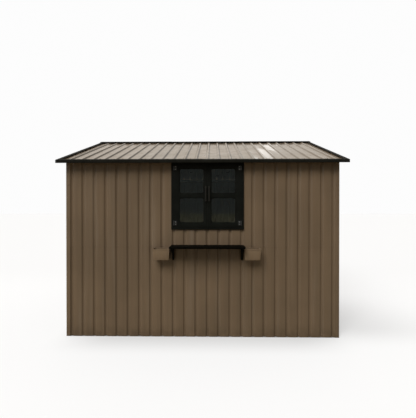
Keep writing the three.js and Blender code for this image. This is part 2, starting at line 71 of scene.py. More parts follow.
# How the frame's pieces lie to each other, in metres
FRAME_STEEL = 0.0008  # Thickness of its sheets
TIER_STEP = 0.0016  # How far in a wall's lower tier lies
POST_FACE = 0.0016  # How far out a corner post's face lies
EAVE_GAP = 0.0016  # From the eave to the roof sheet's edge, measured level
GABLE_GAP = 0.0012  # Between the top of a short wall and the roof sheet
SLEEVE_INSET = 0.0106  # From the window frame's edge in to the opening in the wall

# Sheets and screws
SHEETS_TO_A_SIDE = 3
BASE_ROW = 0.022  # Height of a wall's lowest row of screws
POST_SCREWS = (0.12, 0.50, 0.86, 1.22, 1.58, 1.80)  # Heights on the corner posts
PLATE_ROW = 0.012  # How far inside the long walls the roof sheets' screws stand
EAVE_ROW = 0.026  # From the eave up to the eave trim's screws
RIDGE_ROW = 0.052  # From the ridge down to the ridge cap's screws
GABLE_SCREWS = 4  # Down each arm of a gable trim
GABLE_START = 0.16  # From the eave to the first of them
GABLE_SPARE = 0.30  # What they leave free of the arm at its two ends together
BRACKET_SCREW = 0.62  # Size of a bracket's screws beside the others

# Small steps and fittings
LENGTH_STEP = 0.0012  # How far one length of an eave trim lies behind the other
CAP_STEP = 0.0011  # How far the ridge cap's middle length lies under the others
LEAF = 0.0042  # Thickness of a hinge's leaf
KNUCKLE = 0.0052  # Radius of a hinge's knuckles
PIN = 0.0028  # Radius of a hinge's pin
HINGE_SCREW = 0.0042  # Radius of a hinge screw's head
RIM = 0.0042  # Width of the rolled rim round a planter


# ---- settings ----


def length(name, description, default):
    """A size that the user can change, in metres."""
    return FloatProperty(
        name=name, description=description, default=default, unit="LENGTH", precision=4
    )


def colour(name, description, default):
    """A linear colour that the user can change."""
    return FloatVectorProperty(
        name=name, description=description, default=default, size=3, min=0, max=1, subtype="COLOR"
    )


class SheetSettings(bpy.types.PropertyGroup):
    """The ribbed sheets of the walls and the roof"""

    pitch: length("Rib pitch", "Spacing of the ribs", 0.118)
    depth: length("Rib depth", "How deep a rib is pressed", 0.012)
    mouth: length("Rib mouth", "Width of a rib where it leaves the flat", 0.040)
    crown: length("Rib crown", "Width of a rib's flat bottom", 0.014)
    steel: length("Steel thickness", "Thickness of the sheet steel", 0.0005)
    bend: length("Bend radius", "How far each fold is rounded", 0.0028)
    lap: length("Side lap", "Overlap of two sheets side by side", 0.022)
    lap_step: length("Lap step", "How far one sheet lies behind the next", 0.0006)


class TrimSettings(bpy.types.PropertyGroup):
    """The folded trims and the corner posts"""

    steel: length("Trim thickness", "Thickness of a folded trim", 0.0009)
    bend: length("Trim bend", "How far each fold is rounded", 0.0022)
    drop: length("Trim drop", "Height of the roof trims at the eaves", 0.0316)
    gable_level: length("Gable trim level", "Top of the gable trim over the roof sheet", 0.0152)
    gable_flange: length("Gable flange", "How far the gable trim reaches in over the roof", 0.044)
    eave_level: length("Eave trim level", "Top of the eave trim over the roof sheet", 0.0136)
    eave_flange: length("Eave flange", "How far the eave trim reaches up the roof", 0.040)
    ridge_level: length("Ridge cap level", "Top of the ridge cap over the roof sheet", 0.0216)
    ridge_lip: length("Ridge lip", "Height of the ridge cap's turned-down edges", 0.006)
    ridge_flange: length("Ridge flange", "From the ridge to the cap's edge", 0.070)
    return_edge: length("Drip edge", "Width of the turned-in lower edge of a trim", 0.008)
    post_leg: length("Corner post leg", "Width of each face of a corner post", 0.040)
    trim_lap: length("Trim lap", "Overlap of two lengths of trim", 0.040)


class WindowSettings(bpy.types.PropertyGroup):
    """The window's frame and sashes"""

    light_radius: length("Light corner", "Corner radius of each glazed opening", 0.022)
    edge: length("Edge rounding", "Rounding of the moulded edges", 0.0022)
    outer_stile: length("Outer stile", "Width of a sash beside its hinges", 0.066)
    inner_stile: length("Inner stile", "Width of a sash where the two meet", 0.0385)
    rail: length("Sash rail", "Width of a sash's top and bottom", 0.052)
    bar: length("Glazing bar", "Width of the bar between the two lights", 0.048)
    seal: length("Glazing seal", "How far the rubber seal shows round each light", 0.004)
    frame_seal: length("Frame seal", "Size of the rubber seal behind the frame", 0.0035)


class FixingSettings(bpy.types.PropertyGroup):
    """The sheet screws"""

    head: length("Head size", "Size of a screw's hexagon head across its corners", 0.0086)
    head_rise: length("Head height", "Height of a screw's head", 0.0042)
    washer: length("Washer size", "Diameter of a screw's sealing washer", 0.0125)
    washer_rise: length("Washer height", "Height of a screw's sealing washer", 0.0014)
    every: IntProperty(
        name="Ribs to a screw", description="A screw in every second rib, say", default=2, min=1
    )


class PaintSettings(bpy.types.PropertyGroup):
    """Colours of the coatings"""

    wall: colour("Wall brown", "Coating of the walls and planters", (0.125, 0.086, 0.052))
    wall_shade: colour("Wall shade", "Darker cast of the wall coating", (0.107, 0.074, 0.045))
    roof: colour("Roof brown", "Coating of the roof sheets", (0.112, 0.082, 0.052))
    black: colour("Black coat", "Coating of the trims and handles", (0.0068, 0.0066, 0.0054))
    plastic: colour("Black plastic", "Window moulding", (0.0040, 0.0045, 0.0038))
    shelf: colour("Shelf black", "Shelf moulding", (0.0014, 0.0013, 0.0010))
    hinge: colour("Hinge grey", "Hinges", (0.0125, 0.0138, 0.0145))
    dust: colour("Dust", "Settled dust", (0.23, 0.20, 0.16))
    backing: colour("Backing coat", "Grey back of the sheets", (0.30, 0.31, 0.30))
    zinc: colour("Zinc", "Galvanised rails and small screws", (0.46, 0.48, 0.48))


# ---- mesh helpers ----


def link(name, bm):
    """A linked object that holds the mesh made in bm, which is freed."""
    mesh = bpy.data.meshes.new(name)
    bm.to_mesh(mesh)
    bm.free()
    obj = bpy.data.objects.new(name, mesh)
    bpy.context.scene.collection.objects.link(obj)
    return obj


def take_in(bm, other):
    """Adds the other mesh to bm and frees it."""
    mesh = bpy.data.meshes.new("part")
    other.to_mesh(mesh)
    other.free()
    bm.from_mesh(mesh)
    bpy.data.meshes.remove(mesh)


def settle(obj):
    """Takes the object's modifiers into its mesh."""
    bpy.context.view_layer.update()
    graph = bpy.context.evaluated_depsgraph_get()
    mesh = bpy.data.meshes.new_from_object(obj.evaluated_get(graph))
    obj.modifiers.clear()
    old = obj.data
    obj.data = mesh
    bpy.data.meshes.remove(old)
    mesh.name = obj.name
    return obj


def finish_piece(obj, paints, slot, *nodes):
    """Paints, shades and mounts a finished piece, and hides the nodes that it stands for."""
    while len(obj.data.materials) < len(paints):
        obj.data.materials.append(None)
    for index, paint in enumerate(paints):
        obj.data.materials[index] = PAINTS[paint]
    obj.data.polygons.foreach_set("use_smooth", [True] * len(obj.data.polygons))
    obj.data.set_sharp_from_angle(angle=SMOOTH_BELOW)
    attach(obj, "root")
    if nodes:
        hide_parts(*nodes)


def stand_for(node, obj, *paints):
    """Finishes a piece that takes the place of a node."""
    finish_piece(obj, paints, SLOTS[node], node)


def thicken(obj, thickness, back_slot=0):
    """Gives an open sheet its thickness, behind the face that its normals point out of."""
    solidify = obj.modifiers.new("steel", "SOLIDIFY")
    solidify.thickness = thickness
    solidify.offset = -1
    solidify.use_even_offset = True
    solidify.material_offset = back_slot
    return settle(obj)


def round_off(bm, edges, width, segments):
    """Rounds the given edges."""
    bmesh.ops.bevel(
        bm,
        geom=edges,
        offset=width,
        offset_type="OFFSET",
        segments=segments,
        profile=0.5,
        affect="EDGES",
        material=-1,
        clamp_overlap=True,
    )


def fold_up(bm, profile, low, high, bend, outward):
    """Runs a folded profile in X and Y up along Z and rounds its folds. Its faces point outward."""
    verts = [bm.verts.new((x, y, low)) for x, y in profile]
    edges = [bm.edges.new(pair) for pair in zip(verts, verts[1:])]
    run = bmesh.ops.extrude_edge_only(bm, edges=edges)["geom"]
    top = [item for item in run if isinstance(item, bmesh.types.BMVert)]
    faces = [item for item in run if isinstance(item, bmesh.types.BMFace)]
    bmesh.ops.translate(bm, verts=top, vec=(0, 0, high - low))
    bm.normal_update()
    if max(faces, key=lambda face: face.calc_area()).normal.dot(outward) < 0:
        bmesh.ops.reverse_faces(bm, faces=faces)
    folds = [
        edge
        for vert in verts[1:-1]
        for edge in vert.link_edges
        if abs(edge.verts[0].co.z - edge.verts[1].co.z) > (high - low) / 2
    ]
    if folds and bend > 0:
        round_off(bm, folds, bend, 3)


ALONG_X = Matrix(((0, 0, 1, 0), (1, 0, 0, 0), (0, 1, 0, 0), (0, 0, 0, 1)))


def fold_along(bm, profile, left, right, bend):
    """Runs a folded profile in Y and Z along X. Its faces point up."""
    strip = bmesh.new()
    fold_up(strip, profile, left, right, bend, Vector((0, 1, 0)))
    bmesh.ops.transform(strip, matrix=ALONG_X, verts=strip.verts)
    take_in(bm, strip)


def refined(node, width, segments=2):
    """A copy of a node's mesh with its triangles merged and its edges rounded."""
    bm = bmesh.new()
    bm.from_mesh(frame["nodes"][node].data)
    bmesh.ops.remove_doubles(bm, verts=bm.verts, dist=1e-5)
    bmesh.ops.dissolve_limit(
        bm,
        angle_limit=math.radians(1),
        verts=bm.verts,
        edges=bm.edges,
        use_dissolve_boundaries=False,
    )
    sharp = [
        edge for edge in bm.edges if edge.is_manifold and edge.calc_face_angle(0) > ROUND_ABOVE
    ]
    round_off(bm, sharp, width, segments)
    bmesh.ops.recalc_face_normals(bm, faces=bm.faces)
    return bm


def rounded_plate(low, high, radius, segments=8):
    """A box between two corners, with the four edges that run along Y rounded."""
    low = Vector(low)
    high = Vector(high)
    place = Matrix.Translation((high + low) / 2) @ Matrix.Diagonal((*(high - low), 1))
    bm = bmesh.new()
    bmesh.ops.create_cube(bm, size=1, matrix=place)
    corners = [edge for edge in bm.edges if abs(edge.verts[0].co.y - edge.verts[1].co.y) > 1e-6]
    round_off(bm, corners, radius, segments)
    bmesh.ops.recalc_face_normals(bm, faces=bm.faces)
    return bm


def rod(bm, place, depth, radius, segments, end_radius=None):
    """Adds a solid bar with its middle at the place and its length along the place's Z axis."""
    bmesh.ops.create_cone(
        bm,
        cap_ends=True,
        segments=segments,
        radius1=radius,
        radius2=radius if end_radius is None else end_radius,
        depth=depth,
        matrix=place,
    )


def cut(obj, *cutters):
    """Cuts the cutters' shapes out of the object, and deletes them."""
    made = [link("cutter", cutter) for cutter in cutters]
    for cutter in made:
        boolean = obj.modifiers.new("cut", "BOOLEAN")
        boolean.operation = "DIFFERENCE"
        boolean.solver = "EXACT"
        boolean.object = cutter
    settle(obj)
    for cutter in made:
        bpy.data.objects.remove(cutter)
    return obj


def soften(obj, width, segments=3):
    """Rounds the object's sharp edges."""
    bevel = obj.modifiers.new("edges", "BEVEL")
    bevel.width = width
    bevel.segments = segments
    bevel.limit_method = "ANGLE"
    bevel.angle_limit = SOFTEN_ABOVE
    bevel.harden_normals = False
    return settle(obj)


def sliced(bm, point, normal, clear):
    """Cuts the mesh along a plane, and clears the side that the normal points to if asked."""
    geometry = bm.verts[:] + bm.edges[:] + bm.faces[:]
    bmesh.ops.bisect_plane(bm, geom=geometry, plane_co=point, plane_no=normal, clear_outer=clear)


# ---- where the frame's pieces lie ----


class Shed:
    """Places on the fixed frame: the walls' and the slopes' own axes."""

    def __init__(self, trims):
        gable_low, gable_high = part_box("left_gable_trim")
        front_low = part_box("front_wall_upper")[0]
        back_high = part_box("back_wall_upper")[1]
        self.half_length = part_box("front_wall_upper")[1].x
        self.middle = (front_low.y + back_high.y) / 2
        self.half_depth = (back_high.y - front_low.y) / 2
        self.half_roof = -gable_low.x
        self.eave_y = (gable_high.y - gable_low.y) / 2
        self.eave_top = gable_low.z + trims.drop
        self.slope = math.atan2(gable_high.z - self.eave_top, self.eave_y)
        self.eave_base = self.eave_top - trims.gable_level / math.cos(self.slope)

    def half_wall(self, side):
        """Half the length of a side's wall."""
        return self.half_length if side in LONG_SIDES else self.half_depth

    def wall(self, side):
        """X along the wall, Y inwards from its face, Z up."""
        away = self.half_depth if side in LONG_SIDES else self.half_length
        spin = Matrix.Rotation(math.radians(90 * SIDES.index(side)), 4, "Z")
        return Matrix.Translation((0, self.middle, 0)) @ spin @ Matrix.Translation((0, -away, 0))

    def roof(self, side):
        """X along the eave, Y into the roof and Z up the slope, from the eave."""
        spin = Matrix.Rotation(0 if side == "front" else math.pi, 4, "Z")
        tip = Matrix.Rotation(self.slope - math.pi / 2, 4, "X")
        foot = Matrix.Translation((0, -self.eave_y, self.eave_base))
        return Matrix.Translation((0, self.middle, 0)) @ spin @ foot @ tip

    def height(self, from_ridge, level):
        """Height of a level over the roof sheet's flats, at a distance from the ridge line."""
        run = (self.eave_y - abs(from_ridge)) * math.tan(self.slope)
        return self.eave_base + run + level / math.cos(self.slope)


# ---- paints ----


class Nodes:
    """Adds nodes to a tree and joins them."""

    def __init__(self, tree):
        self.tree = tree

    def node(self, kind, **settings):
        """A new node."""
        made = self.tree.nodes.new(kind)
        for key, value in settings.items():
            setattr(made, key, value)
        return made

    def feed(self, socket, value):
        """Gives a socket a number, a colour or another node's output."""
        if isinstance(value, bpy.types.NodeSocket):
            self.tree.links.new(value, socket)
        elif socket.type == "RGBA":
            socket.default_value = (*value, 1)
        else:
            socket.default_value = value

    def fill(self, node, **values):
        """Feeds a node's sockets, whose names are given with _ for a space."""
        for key, value in values.items():
            self.feed(node.inputs[key.replace("_", " ")], value)

    def axis(self, vector, name):
        """One coordinate of a vector."""
        split = self.node("ShaderNodeSeparateXYZ")
        self.fill(split, Vector=vector)
        return split.outputs[name]

    def span(self, value, low, high, to_low=0.0, to_high=1.0, kind="SMOOTHSTEP"):
        """The value from low to high, made to run from to_low to to_high."""
        made = self.node("ShaderNodeMapRange", interpolation_type=kind)
        self.fill(made, Value=value, From_Min=low, From_Max=high, To_Min=to_low, To_Max=to_high)
        return made.outputs["Result"]

    def math(self, operation, a, b=0.0):
        """A sum, a product or the like."""
        made = self.node("ShaderNodeMath", operation=operation)
        for socket, value in zip(made.inputs, (a, b)):
            self.feed(socket, value)
        return made.outputs["Value"]

    def product(self, first, *others):
        """All the values multiplied."""
        for other in others:
            first = self.math("MULTIPLY", first, other)
        return first

    def mix(self, factor, a, b, kind="RGBA"):
        """A mix of two colours, or of two numbers if the kind is VALUE."""
        made = self.node("ShaderNodeMix", data_type="RGBA" if kind == "RGBA" else "FLOAT")
        for name, value in (("Factor", factor), ("A", a), ("B", b)):
            wanted = "VALUE" if name == "Factor" else kind
            self.feed(next(s for s in made.inputs if s.name == name and s.type == wanted), value)
        return next(s for s in made.outputs if s.type == kind)


class Paint(Nodes):
    """Builds one material."""

    def __init__(self, name):
        self.material = bpy.data.materials.new(name)
        self.material.use_nodes = True
        super().__init__(self.material.node_tree)
        self.surface = self.tree.nodes["Principled BSDF"]
        self.place = self.node("ShaderNodeTexCoord").outputs["Object"]

    def set(self, **values):
        """Feeds the surface's own sockets."""
        self.fill(self.surface, **values)

    def noise(self, scale, detail, roughness=0.5, stretch=None):
        """A cloudy pattern, squeezed along each axis by the stretch."""
        place = self.place
        if stretch:
            mapping = self.node("ShaderNodeMapping")
            self.fill(mapping, Vector=place, Scale=stretch)
            place = mapping.outputs["Vector"]
        made = self.node("ShaderNodeTexNoise")
        self.fill(made, Vector=place, Scale=scale, Detail=detail, Roughness=roughness)
        return made.outputs["Fac"]

    def near_ground(self, low, high):
        """1 at the low height and 0 at the high one."""
        return self.span(self.axis(self.place, "Z"), low, high, 1.0, 0.0)

    def turned(self, name):
        """How far a face points along an axis."""
        return self.axis(self.node("ShaderNodeNewGeometry").outputs["Normal"], name)

    def sideways(self, to_left, to_right):
        """One value on faces turned to the left, such as a rib's side, another to the right."""
        across = self.turned("X")
        left = self.span(across, -0.5, -0.2, to_left, 0.0)
        return self.math("ADD", left, self.span(across, 0.2, 0.5, 0.0, to_right))

    def lying_dust(self, low, high, pattern):
        """A pattern of dust that lies only on faces that point up: none at low, all at high."""
        return self.math("MULTIPLY", self.span(self.turned("Z"), low, high), pattern)

    def bump(self, *layers):
        """Bumps over each other, each a height, a strength and a distance."""
        normal = None
        for height, strength, distance in layers:
            made = self.node("ShaderNodeBump")
            self.fill(made, Height=height, Strength=strength, Distance=distance)
            if normal:
                self.fill(made, Normal=normal)
            normal = made.outputs["Normal"]
        self.set(Normal=normal)


def times(factor, tone):
    """A colour made lighter or darker."""
    return tuple(factor * part for part in tone)


def coated_steel(name, main, shade, dust, stretch, gloss, dusty, splash=0.0, painted_rib_shade=None):
    """Coated sheet steel: a slight cast, rain streaks, settled dust and a faint orange peel.
    Splashed mud reaches up to the splash height, and the lowest 12 mm are darker still.
    The rib-side strengths give painted shade on the ribs' two sides and dull their coat and
    reflection there."""
    p = Paint(name)
    cast = p.span(p.noise(1.7, 4), 0.35, 0.65)
    base = p.mix(cast, main, shade)
    streak = p.span(p.noise(1.0, 5, 0.6, stretch), 0.42, 0.72, 0.0, 0.30)
    base = p.mix(streak, base, times(0.62, main))
    pale = p.span(p.noise(1.0, 4, 0.55, times(0.7, stretch)), 0.52, 0.80, 0.0, 0.16)
    base = p.mix(pale, base, dust)
    speck = p.span(p.noise(420.0, 2), 0.68, 0.78, 0.0, 0.25)
    base = p.mix(speck, base, times(1.7, main))
    lying = p.lying_dust(0.3, 0.95, p.span(p.noise(9.0, 6, 0.65), 0.35, 0.75, 0.0, dusty))
    base = p.mix(lying, base, dust)
    if splash:
        edge = p.product(
            p.near_ground(0.0, splash), p.span(p.noise(14.0, 6, 0.7), 0.25, 0.7), 0.62
        )
        base = p.mix(edge, base, times(0.45, main))
        # The lowest 12 mm darker still, in patches
        line = p.product(p.near_ground(0.0, 0.012), p.span(p.noise(30.0, 4), 0.2, 0.6), 0.5)
        base = p.mix(line, base, times(0.3, main))
    if painted_rib_shade:
        # Painted shade on the ribs' two sides, darker on the right-facing sides turned from the key
        # light, with less coat and reflection there
        rib_side_shade = p.sideways(*painted_rib_shade)
        base = p.mix(rib_side_shade, base, times(0.15, main))
        p.set(Coat_Weight=p.math("MULTIPLY", p.math("SUBTRACT", 1.0, rib_side_shade), 0.35))
        p.set(Specular_IOR_Level=p.math("SUBTRACT", 0.5, p.math("MULTIPLY", rib_side_shade, 0.45)))
    p.set(Base_Color=base, Metallic=0.0, IOR=1.45)
    rough = p.span(p.noise(6.0, 5, 0.6), 0.3, 0.7, gloss - 0.05, gloss + 0.09, "LINEAR")
    p.set(Roughness=p.math("ADD", rough, p.math("MULTIPLY", lying, 0.25)))
    p.bump(
        (p.noise(3.2, 1), 0.30, 0.004),
        (p.noise(60.0, 2), 0.10, 0.0008),
        (p.noise(650.0, 2), 0.10, 0.0002),
    )
    return p


def black_coat(name, main, dust, specular, grain, roughness, dusty):
    """A black coating or moulding: fine grain, scuffs, and dust on what faces up."""
    p = Paint(name)
    patch = p.span(p.noise(11.0, 5, 0.6), 0.3, 0.7)
    base = p.mix(patch, main, times(1.5, main))
    scuff = p.span(p.noise(1.0, 6, 0.7, (38.0, 210.0, 210.0)), 0.66, 0.74, 0.0, 0.22)
    base = p.mix(scuff, base, times(5.0, main))
    lying = p.lying_dust(0.4, 0.97, p.span(p.noise(26.0, 6, 0.7), 0.42, 0.85, 0.0, dusty))
    base = p.mix(lying, base, dust)
    p.set(Base_Color=base, Metallic=0.0, Specular_IOR_Level=specular)
    matt = p.noise(34.0, 5, 0.6)
    p.set(Roughness=p.span(matt, 0.3, 0.7, roughness - 0.06, roughness + 0.1, "LINEAR"))
    p.bump((p.noise(5.0, 2), 0.15, 0.001), (p.noise(grain, 2), 0.22, 0.0003))
    return p


def backing_coat(main):
    """The plain grey coat on the backs of the sheets."""
    p = Paint("backing_coat")
    patch = p.span(p.noise(5, 5, 0.6), 0.3, 0.7)
    p.set(Base_Color=p.mix(patch, main, times(0.8, main)), Metallic=0.0)
    p.set(Roughness=p.span(p.noise(40, 4), 0.3, 0.7, 0.42, 0.6))
    p.bump((p.noise(600.0, 2), 0.1, 0.0002))
    return p


def zinc_spangle(main):
    """Galvanised steel with its crystals."""
    p = Paint("zinc_spangle")
    cells = p.node("ShaderNodeTexVoronoi")
    p.fill(cells, Vector=p.place, Scale=90.0)
    grey = p.node("ShaderNodeRGBToBW")
    p.fill(grey, Color=cells.outputs["Color"])
    crystal = grey.outputs["Val"]
    p.set(Base_Color=p.mix(crystal, main, times(0.7, main)), Metallic=0.9)
    p.set(Roughness=p.span(crystal, 0.0, 1.0, 0.34, 0.52))
    p.bump((p.noise(300.0, 2), 0.12, 0.0002))
    return p


def window_glass():
    """Clear glass with a few smears."""
    p = Paint("window_glass")
    smear = p.span(p.noise(1.0, 5, 0.6, (9.0, 9.0, 3.0)), 0.45, 0.8)
    base = p.mix(smear, (0.86, 0.90, 0.90), (0.70, 0.72, 0.70))
    p.set(Base_Color=base, Metallic=0.0, IOR=1.47, Transmission_Weight=1.0)
    p.set(Specular_Tint=(0.84, 1.0, 1.0))
    p.set(Roughness=p.span(smear, 0.0, 1.0, 0.015, 0.09))
    p.bump((p.noise(2.6, 2), 0.06, 0.004))
    return p


def make_paints(settings):
    """Every material of the shed, by name."""
    c = {key: tuple(getattr(settings, key)) for key in PaintSettings.__annotations__}
    walls = (c["wall"], c["wall_shade"], c["dust"])
    roofs = (c["roof"], c["wall"], c["dust"])
    boxes = (times(1.2, c["wall"]), c["wall"], c["dust"])
    coats = (c["black"], c["dust"])
    upright = (26.0, 26.0, 0.9)
    downslope = (26.0, 1.2, 1.2)
    even = (200.0, 200.0, 200.0)
    paints = {
        "wall": coated_steel("wall_coat", *walls, upright, 0.44, 0.5, splash=0.16),
        "planter": coated_steel("planter_coat", *boxes, (60.0, 60.0, 9.0), 0.42, 0.5),
        # The roof's ribs get painted shade on their sides, most on the right-facing ones
        "roof": coated_steel("roof_coat", *roofs, downslope, 0.30, 0.35, painted_rib_shade=(0.25, 0.75)),
        "trim": black_coat("trim_coat", *coats, 0.05, 900.0, 0.64, 0.01),
        "handle": black_coat("handle_coat", *coats, 0.35, 900.0, 0.42, 0.04),
        "plastic": black_coat("window_moulding", c["plastic"], c["dust"], 0.08, 1300.0, 0.50, 0.02),
        "shelf": black_coat("shelf_moulding", c["shelf"], c["dust"], 0.03, 1100.0, 0.60, 0.004),
        "rubber": black_coat("sealing_rubber", *coats, 0.15, 500.0, 0.80, 0.1),
        "hinge": black_coat("hinge_coat", c["hinge"], c["dust"], 0.4, 1100.0, 0.42, 0.15),
        "screw": coated_steel("screw_coat", *walls, even, 0.36, 0.4),
        "roof_screw": coated_steel("roof_screw_coat", *roofs, even, 0.34, 0.4),
        "backing": backing_coat(c["backing"]),
        "zinc": zinc_spangle(c["zinc"]),
        "glass": window_glass(),
    }
    paints["roof"].set(Coat_Roughness=0.07, Coat_IOR=1.5, Specular_Tint=(1.0, 0.92, 0.80))
    return {key: paint.material for key, paint in paints.items()}


# ---- sheets ----


def rib_centre(bay, bays, sheet):
    """How far a rib lies from the middle of its side."""
    return (bay + 0.5 - bays / 2) * sheet.pitch


def ribbed_profile(left, right, sheet, bays, depth, face, edge_rib):
    """The folded line of a ribbed sheet from left to right. A negative depth raises the ribs.
    An edge rib of -1 or 1 is half a rib along the left or the right edge."""
    points = [(left, face)]
    if edge_rib < 0:
        points = [
            (left, face + depth),
            (left + sheet.crown / 2, face + depth),
            (left + sheet.mouth / 2, face),
        ]
    for bay in range(bays):
        centre = rib_centre(bay, bays, sheet)
        if left < centre - sheet.mouth / 2 and centre + sheet.mouth / 2 < right:
            points += [
                (centre - sheet.mouth / 2, face),
                (centre - sheet.crown / 2, face + depth),
                (centre + sheet.crown / 2, face + depth),
                (centre + sheet.mouth / 2, face),
            ]
    if edge_rib > 0:
        points += [(right - sheet.mouth / 2, face), (right - sheet.crown / 2, face + depth)]
    points.append((right, face + depth if edge_rib > 0 else face))
    return points


def rib_counts(bays):
    """Shares the ribs of a side out over its sheets, the outer ones alike."""
    share = bays // SHEETS_TO_A_SIDE
    counts = [share] * SHEETS_TO_A_SIDE
    for index in range(bays - share * SHEETS_TO_A_SIDE):
        counts[(SHEETS_TO_A_SIDE // 2 + index) % SHEETS_TO_A_SIDE] += 1
    return counts


def sheet_run(bm, sheet, half, bays, depth, face, low, high, edge_ribs=False):
    """Sheets lapped side by side, with half a rib along each end of the run if asked."""
    start = 0
    last = SHEETS_TO_A_SIDE - 1
    for index, count in enumerate(rib_counts(bays)):
        behind = index % 2
        reach = sheet.lap if behind else sheet.lap / 2
        left = -half if index == 0 else (start - bays / 2) * sheet.pitch - reach
        right = half if index == last else (start + count - bays / 2) * sheet.pitch + reach
        edge_rib = 0
        if edge_ribs:
            edge_rib = {0: -1, last: 1}.get(index, 0)
        line = face + behind * sheet.lap_step
        profile = ribbed_profile(left, right, sheet, bays, depth, line, edge_rib)
        fold_up(bm, profile, low, high, sheet.bend, Vector((0, -1, 0)))
        start += count


def open_window(bm):
    """Opens the sheet in bm, which is in its place, for the window's sleeve."""
    low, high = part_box("window_frame")
    x0, x1 = low.x + SLEEVE_INSET, high.x - SLEEVE_INSET
    z0, z1 = low.z + SLEEVE_INSET, high.z - SLEEVE_INSET
    for x in (x0, x1):
        sliced(bm, (x, 0, 0), (1, 0, 0), False)
    for z in (z0, z1):
        sliced(bm, (0, 0, z), (0, 0, 1), False)
    inside = []
    for face in bm.faces:
        centre = face.calc_center_median()
        if x0 < centre.x < x1 and z0 < centre.z < z1:
            inside.append(face)
    bmesh.ops.delete(bm, geom=inside, context="FACES")


def wall_bays(side, sheet, shed):
    """The number of ribs across a wall."""
    return round(2 * shed.half_wall(side) / sheet.pitch)


def wall_tiers(sheet, shed):
    """The two tiers of each wall, the upper one of a short wall cut to the slopes."""
    for side in SIDES:
        long = side in LONG_SIDES
        along = 0 if long else 1
        upper_node = f"{side}_wall_upper" if long else f"{side}_gable_wall_upper"
        for node, upper in ((f"{side}_wall_lower", False), (upper_node, True)):
            low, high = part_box(node)
            half = (high[along] - low[along]) / 2
            face = 0.0 if upper else TIER_STEP
            bays = wall_bays(side, sheet, shed)
            bm = bmesh.new()
            sheet_run(bm, sheet, half, bays, sheet.depth, face, low.z, high.z)
            if upper and not long:
                peak = shed.height(0, 0) - GABLE_GAP / math.cos(shed.slope)
                for sign in (-1, 1):
                    normal = (sign * math.sin(shed.slope), 0, math.cos(shed.slope))
                    sliced(bm, (0, 0, peak), normal, True)
            bmesh.ops.transform(bm, matrix=shed.wall(side), verts=bm.verts)
            if node == "front_wall_upper":
                open_window(bm)
            obj = thicken(link(f"{node}_sheets", bm), sheet.steel, 1)
            stand_for(node, obj, "wall", "backing")


def roof_bays(sheet):
    """The number of whole ribs on a slope, between the half ribs at its ends."""
    low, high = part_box("front_roof_sheet")
    return round((high.x - low.x) / sheet.pitch) - 1


def roof_slopes(sheet, shed):
    """The two slopes of the roof, their ribs raised."""
    cos, sin, tan = math.cos(shed.slope), math.sin(shed.slope), math.tan(shed.slope)
    bays = roof_bays(sheet)
    for side in LONG_SIDES:
        node = f"{side}_roof_sheet"
        low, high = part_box(node)
        half = (high.x - low.x) / 2
        run = (high.y - low.y - (sheet.depth + FRAME_STEEL) * sin) / cos
        start = EAVE_GAP / cos + sheet.depth * tan
        bm = bmesh.new()
        sheet_run(bm, sheet, half, bays, -sheet.depth, 0.0, start, start + run, edge_ribs=True)
        bmesh.ops.transform(bm, matrix=shed.roof(side), verts=bm.verts)
        obj = thicken(link(f"{node}_sheets", bm), sheet.steel, 1)
        stand_for(node, obj, "roof", "backing")


# ---- fixings ----


OUT = Matrix.Rotation(math.pi / 2, 4, "X")


def spot(x, y, z, side=Matrix.Identity(4)):
    """A place on a side whose Z axis points out of it."""
    return side @ Matrix.Translation((x, y, z)) @ OUT


def screw_piece(name, places, paint, node, fixing):
    """One piece of hexagon screws with sealing washers, each turned a little differently."""
    half = fixing.washer / 2
    rise = fixing.head_rise - fixing.washer_rise
    bm = bmesh.new()
    for index, place in enumerate(places):
        turned = place @ Matrix.Rotation(0.37 * index, 4, "Z")
        washer = turned @ Matrix.Translation((0, 0, fixing.washer_rise / 2))
        rod(bm, washer, fixing.washer_rise, half, 12, 0.8 * half)
        head = turned @ Matrix.Translation((0, 0, fixing.washer_rise + rise / 2))
        rod(bm, head, rise, fixing.head / 2, 6, 0.42 * fixing.head)
    finish_piece(link(name, bm), [paint], SLOTS[node])


def mid_height(node):
    """The height of a node's middle."""
    low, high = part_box(node)
    return (low.z + high.z) / 2


def wall_screws(sheet, fixing, shed):
    """Rows of screws in the grooves of each wall, into the rails behind."""
    for side in SIDES:
        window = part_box("window_frame") if side == "front" else None
        rows = [(BASE_ROW, TIER_STEP, fixing.every), (mid_height("front_mid_rail"), 0.0, 1)]
        if side in LONG_SIDES:
            rows.append((mid_height(f"{side}_top_rail"), 0.0, fixing.every))
        bays = wall_bays(side, sheet, shed)
        places = []
        for bay in range(bays):
            x = rib_centre(bay, bays, sheet)
            for z, face, every in rows:
                if bay % every:
                    continue
                if window and window[0].x < x < window[1].x and window[0].z < z < window[1].z:
                    continue
                places.append(spot(x, face + sheet.depth, z, shed.wall(side)))
        screw_piece(f"{side}_wall_screws", places, "screw", "front_wall_lower", fixing)


def post_screws(trim, fixing, shed):
    """Screws down both faces of each corner post."""
    places = []
    for side in SIDES:
        for end in (-1, 1):
            x = end * (shed.half_wall(side) - 0.6 * trim.post_leg)
            places += [spot(x, -POST_FACE, z, shed.wall(side)) for z in POST_SCREWS]
    screw_piece("corner_post_screws", places, "screw", "front_left_corner_post", fixing)


